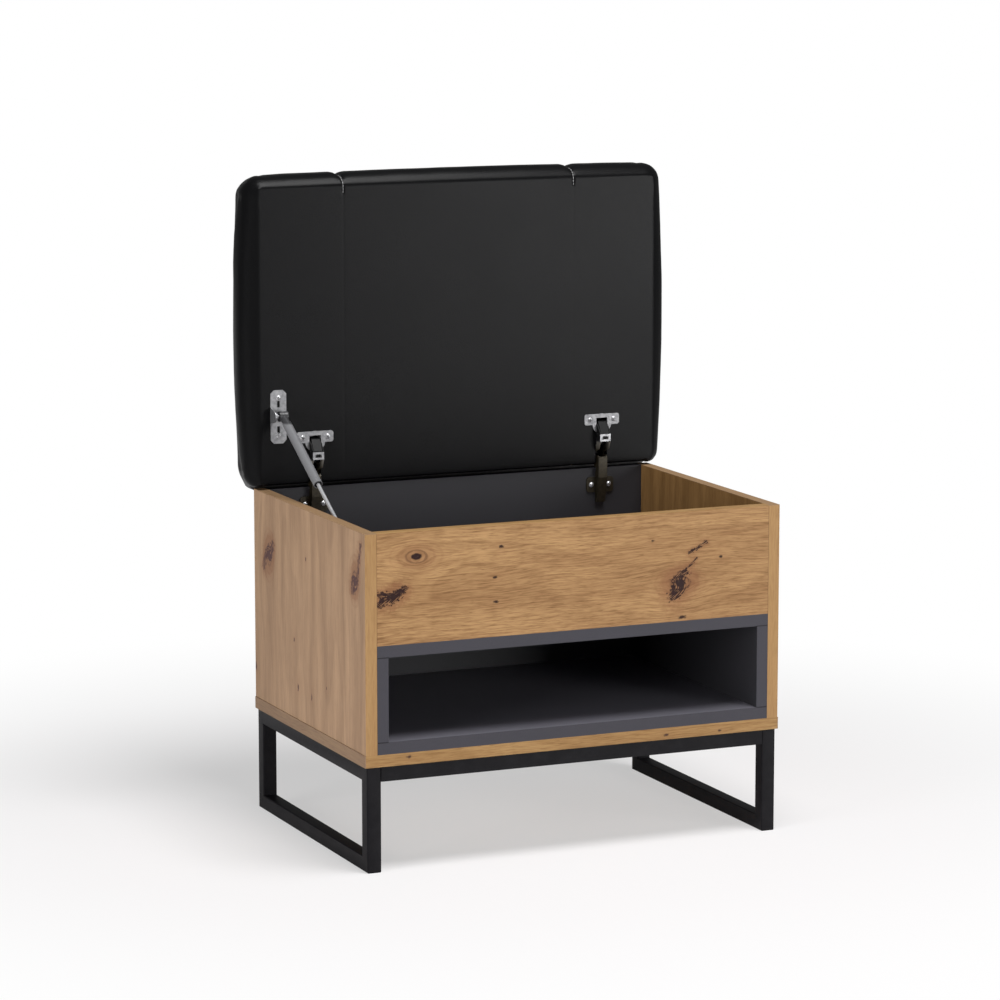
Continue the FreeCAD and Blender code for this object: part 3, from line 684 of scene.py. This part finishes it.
class Rule:
    """A geometry tree with named inputs, for what follows a path."""

    def __init__(self, name, **sizes):
        self.tree = bpy.data.node_groups.new(name, "GeometryNodeTree")
        self.tree.interface.new_socket("Shape", in_out="INPUT", socket_type="NodeSocketGeometry")
        for size in sizes:
            self.tree.interface.new_socket(size, in_out="INPUT", socket_type="NodeSocketFloat")
        self.tree.interface.new_socket("Shape", in_out="OUTPUT", socket_type="NodeSocketGeometry")
        self.given = self.tree.nodes.new("NodeGroupInput").outputs
        self.sizes = sizes

    def node(self, kind, settings=None, sockets=None):
        """Add a node: settings first, then its sockets' values and links."""
        made = self.tree.nodes.new(kind)
        for name, value in (settings or {}).items():
            setattr(made, name, value)
        for name, value in (sockets or {}).items():
            if isinstance(value, bpy.types.NodeSocket):
                self.tree.links.new(value, made.inputs[name])
            else:
                made.inputs[name].default_value = value
        return made.outputs

    def shape(self, name, start, instances, material):
        """Run the tree on a mesh and keep its result as a plain mesh object."""
        real = self.node("GeometryNodeRealizeInstances", sockets={0: instances})
        coloured = self.node("GeometryNodeSetMaterial", sockets={0: real[0], "Material": material})
        self.tree.links.new(coloured[0], self.tree.nodes.new("NodeGroupOutput").inputs[0])
        piece = bpy.data.objects.new(name, start)
        bpy.context.scene.collection.objects.link(piece)
        modifier = piece.modifiers.new("rule", "NODES")
        modifier.node_group = self.tree
        for socket in self.tree.interface.items_tree:
            if socket.in_out == "INPUT" and socket.name in self.sizes:
                modifier[socket.identifier] = self.sizes[socket.name]
        made = as_plain_mesh(piece)
        piece.modifiers.clear()
        piece.data = made
        return piece


thread, wire, shader = coated("grey_thread", Roughness=0.6)
twist = wire.grain(2500, detail=1)
colour = wire.blend(shade(176, 176, 176), shade(132, 132, 134), twist.ease(0.3, 0.7))
colour.into(shader, "Base Color")
(0.5 + twist * 0.2).into(shader, "Roughness")
twist.bump(shader, 0.4, 0.0002)
rule = Rule("lock_stitch", Pitch=0.0046, Length=0.0041, Thickness=0.0011)
path = rule.node("GeometryNodeMeshToCurve", sockets={"Mesh": rule.given["Shape"]})
path = rule.node("GeometryNodeResampleCurve", {"mode": "LENGTH"},
                 {"Curve": path[0], "Length": rule.given["Pitch"]})
bead = rule.node("GeometryNodeMeshUVSphere", sockets={"Segments": 8, "Rings": 6, "Radius": 0.5})
size = rule.node("ShaderNodeCombineXYZ",
                 sockets={0: rule.given["Thickness"], 1: rule.given["Thickness"],
                          2: rule.given["Length"]})
bead = rule.node("GeometryNodeTransform", sockets={"Geometry": bead[0], "Scale": size[0]})
along = rule.node("GeometryNodeInputTangent")
turned = rule.node("FunctionNodeAlignRotationToVector", {"axis": "Z"}, {"Vector": along[0]})
placed = rule.node("GeometryNodeInstanceOnPoints",
                   sockets={"Points": path[0], "Instance": bead[0], "Rotation": turned[0]})
stitches = rule.shape("channel_stitches", mesh, placed[0], thread)
smooth(stitches.data)
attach(stitches, "lid")

# room for the hinges, with the cover tucked round it, and the two bored holes for their cups
arm_gap = 0.0008
cup_depth = 0.0226
form = bmesh.new()
for side in ("left", "right"):
    arm_low, arm_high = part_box(f"hinge_lid_arm_{side}")
    cup_low, cup_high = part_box(f"hinge_cup_{side}")
    pin_low, pin_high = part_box(f"hinge_pin_{side}")
    middle = (arm_low[0] + arm_high[0]) / 2
    pin_y, pin_z = (pin_low[1] + pin_high[1]) / 2, (pin_low[2] + pin_high[2]) / 2
    low = Vector((arm_low[0] - arm_gap, face - 0.01, rear - 0.03))
    high = Vector((arm_high[0] + arm_gap, pin_y + 0.006, pin_z + 0.021))
    corners = bmesh.ops.create_cube(form, size=1)["verts"]
    for vertex in corners:
        vertex.co = Vector([low[i] + (vertex.co[i] + 0.5) * (high[i] - low[i]) for i in range(3)])
    cup = bmesh.ops.create_cone(form, cap_ends=True, segments=48, radius1=0.5, radius2=0.5,
                                depth=1)["verts"]
    cup_size = cup_high[0] - cup_low[0] - 0.0002
    cup_z = (cup_low[2] + cup_high[2]) / 2
    for vertex in cup:
        round_x, round_z, deep = vertex.co
        vertex.co = Vector((middle + round_x * cup_size, face + 0.0008 + deep * cup_depth,
                            cup_z + round_z * cup_size))
bmesh.ops.recalc_face_normals(form, faces=form.faces)
hinge_room = piece_from("hinge_room", form)
mesh = hinge_room.data
settle(pad, "BOOLEAN", operation="DIFFERENCE", object=hinge_room, solver="MANIFOLD")
bpy.data.objects.remove(hinge_room)
bpy.data.meshes.remove(mesh)

leatherette, wire, shader = coated("black_leatherette", Roughness=0.36, Specular_IOR_Level=0.08)
x, y, z = wire.object_place()
place = wire.node("CombineXYZ", sockets={0: x, 1: y, 2: z})
pebble = wire.node("TexVoronoi", {"feature": "SMOOTH_F1"},
                   {"Vector": place, "Scale": 900.0, "Smoothness": 0.6, "Randomness": 0.9})
crease = wire.grain(420, detail=3)
worn = wire.grain(12, detail=3)
colour = wire.blend(shade(12, 12, 13), shade(18, 18, 19), crease * 0.5 + worn * 0.5)
colour.into(shader, "Base Color")
(0.23 + worn * 0.07 + pebble * 0.06).into(shader, "Roughness")
(pebble * 0.7 + crease * 0.6).bump(shader, 0.3, 0.0003)
pad.data.materials.clear()
pad.data.materials.append(leatherette)
smooth(pad.data)
pad.data.set_sharp_from_angle(angle=math.radians(50))
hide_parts("lid_cover", "lid_foam")
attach(pad, "lid")

board, wire, shader = coated("particle_board", Roughness=0.8)
x, y, z = wire.object_place()
place = wire.node("CombineXYZ", sockets={0: x, 1: y, 2: z})
chips = wire.node("TexVoronoi", sockets={"Vector": place, "Scale": 450.0}, out="Color")
chips = wire.node("RGBToBW", sockets={0: chips})
wire.blend(shade(196, 164, 118), shade(142, 108, 68), chips).into(shader, "Base Color")
chips.bump(shader, 0.4, 0.0004)
give(board, "lid_board")


# Hinges: a dark bronze plate and hooked arm on the back panel, a steel pin, and a zinc lid arm
# with a flange and cup let into the lid; the lid arm is painted with light and shade, paler under
# its slot, darker to a bronze tone lower down and near black in its slot and cup. Strut: a grey
# cylinder and bright rod between ball studs; its upper socket is painted, its lower one black
# plastic.

bronze, wire, shader = coated("dark_bronze", Metallic=0.45, Roughness=0.4)
tarnish = wire.grain(240, detail=3)
colour = wire.blend(shade(60, 54, 41), shade(46, 41, 31), tarnish.ease(0.3, 0.7))
colour.into(shader, "Base Color")
(0.32 + tarnish * 0.2).into(shader, "Roughness")
tarnish.bump(shader, 0.1, 0.0002)
give(bronze, "hinge_arm_left", "hinge_arm_right", "hinge_base_left", "hinge_base_right")

lid_arm, wire, shader = coated("lid_arm_painted_light_and_shade", Roughness=0.4)
x, y, z = wire.object_place()
bloom = wire.grain(260, detail=3)
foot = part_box("hinge_lid_arm_right")[0][2]
window_low, window_high = foot + 0.032, foot + 0.043
window_middle = (window_low + window_high) / 2
hinge_middle = 0.218
# Painted light and shade down the lid arm: paler just under its slot, darker to a bronze tone
# lower down, and near black in its slot and where it runs into the cup.
in_cup = z.ease(window_high - 0.0003, window_high + 0.0003)
under = z.ease(window_low + 0.0003, window_low - 0.0012)
colour = wire.blend(shade(162, 162, 164), shade(138, 138, 141), bloom.ease(0.3, 0.75))
colour = wire.blend(colour, shade(132, 128, 120), under)
colour = wire.blend(colour, shade(56, 50, 38), z.ease(window_low, window_low - 0.016))
window = abs(abs(x) - hinge_middle).ease(0.0050, 0.0044)
window = window * abs(z - window_middle).ease(0.0024, 0.0018)
colour = wire.blend(colour, shade(14, 13, 13), window)
wire.blend(colour, shade(9, 9, 10), in_cup).into(shader, "Base Color")
((1 - in_cup) * (1 - window) * (1 - under * 0.75)).into(shader, "Metallic")
(0.32 + bloom * 0.16 + in_cup * 0.4).into(shader, "Roughness")
bloom.bump(shader, 0.1, 0.0001)
give(lid_arm, "hinge_lid_arm_left", "hinge_lid_arm_right")

plastic, wire, shader = coated("black_plastic", Roughness=0.5, Specular_IOR_Level=0.25)
mould = wire.grain(500, detail=3)
wire.blend(shade(12, 12, 13), shade(20, 20, 21), mould).into(shader, "Base Color")
(0.42 + mould * 0.2).into(shader, "Roughness")
mould.bump(shader, 0.2, 0.0002)
give(plastic, "hinge_link_left", "hinge_link_right", "strut_guide", "strut_piston",
     "strut_lower_socket")

grey, wire, shader = coated("strut_grey_paint", Roughness=0.35, Specular_IOR_Level=0.4)
x, y, z = wire.object_place()
flow = wire.grain(600)
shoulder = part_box("strut_cylinder")[1][2]
colour = wire.blend(shade(112, 112, 114), shade(128, 128, 131), flow)
colour = wire.blend(colour, shade(58, 58, 60), z.ease(shoulder - 0.006, shoulder - 0.003))
colour.into(shader, "Base Color")
(0.3 + flow * 0.12).into(shader, "Roughness")
flow.bump(shader, 0.12, 0.0002)
give(grey, "strut_cylinder", "strut_upper_socket")

# Painted reflection: the rod is near white and partly diffuse, for the bright reflections along
# it.
bright, wire, shader = coated("polished_rod", Metallic=0.6, Roughness=0.2)
oil = wire.grain(300)
wire.blend(shade(226, 226, 228), shade(206, 206, 210), oil).into(shader, "Base Color")
(0.24 + oil * 0.12).into(shader, "Roughness")
give(bright, "strut_rod")


# Floor, light and camera: a pale studio floor, three soft boxes and a low white surround. Only
# the camera sees floor and surround at full strength; gloss shows them much dimmer.

def seen_and_mirrored(wire):
    """What the camera sees by itself, and what it sees in gloss or through glass: each 0 or 1."""
    direct, glossy, clear = (wire.node("LightPath", out=f"Is {kind} Ray")
                             for kind in ("Camera", "Glossy", "Transmission"))
    return direct, glossy + clear


mesh = bpy.data.meshes.new("studio_floor")
mesh.from_pydata([(-40, -12, 0), (40, -12, 0), (40, 60, 0), (-40, 60, 0)], [], [(0, 1, 2, 3)])
studio_floor = bpy.data.objects.new("studio_floor", mesh)
bpy.context.scene.collection.objects.link(studio_floor)
material, wire, shader = coated("pale_floor", Roughness=0.9, Specular_IOR_Level=0.1)
x, y, z = wire.object_place()
away = (x * x + y * y) ** 0.5
# Painted shade: the floor's colour darkens towards the bench. Painted light: near the bench the
# camera sees half white glow over the floor and its shadows, and all glow further out.
colour = wire.blend(shade(240, 237, 238), shade(252, 252, 252), away.ease(0.4, 1.6))
colour.into(shader, "Base Color")
white = wire.node("Emission", sockets={"Color": (1, 1, 1, 1), "Strength": 1.0})
seen, mirrored = seen_and_mirrored(wire)
shown = seen + mirrored * 0.12
mixed = wire.node("MixShader", sockets={0: (away.ease(0.45, 1.4) * 0.5 + 0.5) * shown})
tree = material.node_tree
mixer = mixed.socket.node
tree.links.new(shader.outputs[0], mixer.inputs[1])
tree.links.new(white.socket, mixer.inputs[2])
tree.links.new(mixer.outputs[0], tree.nodes["Material Output"].inputs[0])
mesh.materials.append(material)

world = bpy.data.worlds.new("studio")
bpy.context.scene.world = world
world.use_nodes = True
surround = Wire(world.node_tree)
background = world.node_tree.nodes["Background"]
seen, mirrored = seen_and_mirrored(surround)
background.inputs["Color"].default_value = (1, 1, 1, 1)
(seen * 0.94 + mirrored * 0.08 + 0.07).into(background, "Strength")


def soft_box(name, place, aim, size, power):
    """A lamp with a wide face, turned to a point and with its power in watts."""
    lamp = bpy.data.lights.new(name, "AREA")
    lamp.shape = "RECTANGLE"
    lamp.size, lamp.size_y = size
    lamp.energy = power
    box = bpy.data.objects.new(name, lamp)
    bpy.context.scene.collection.objects.link(box)
    box.location = place
    box.rotation_euler = (Vector(aim) - Vector(place)).to_track_quat("-Z", "Y").to_euler()
    return box


soft_box("key_box", (2.0, -3.3, 0.75), (0, 0, 0.5), (1.5, 1.3), 51)
soft_box("fill_box", (-3.6, -1.4, 0.8), (0, 0, 0.45), (1.8, 1.4), 74).visible_glossy = False
soft_box("overhead_box", (0.3, -0.9, 3.3), (0, 0, 0.3), (1.5, 1.3), 96)

camera = bpy.data.objects.new("camera", bpy.data.cameras.new("camera"))
bpy.context.scene.collection.objects.link(camera)
looks_down = 0.16002
looks_right = 0.41321
camera.data.lens = 143.62
camera.location = (-2.16917, -4.93661, 1.30912)
camera.rotation_euler = (math.pi / 2 - looks_down, 0, -looks_right)
bpy.context.scene.camera = camera
bpy.context.scene.view_settings.view_transform = "Standard"
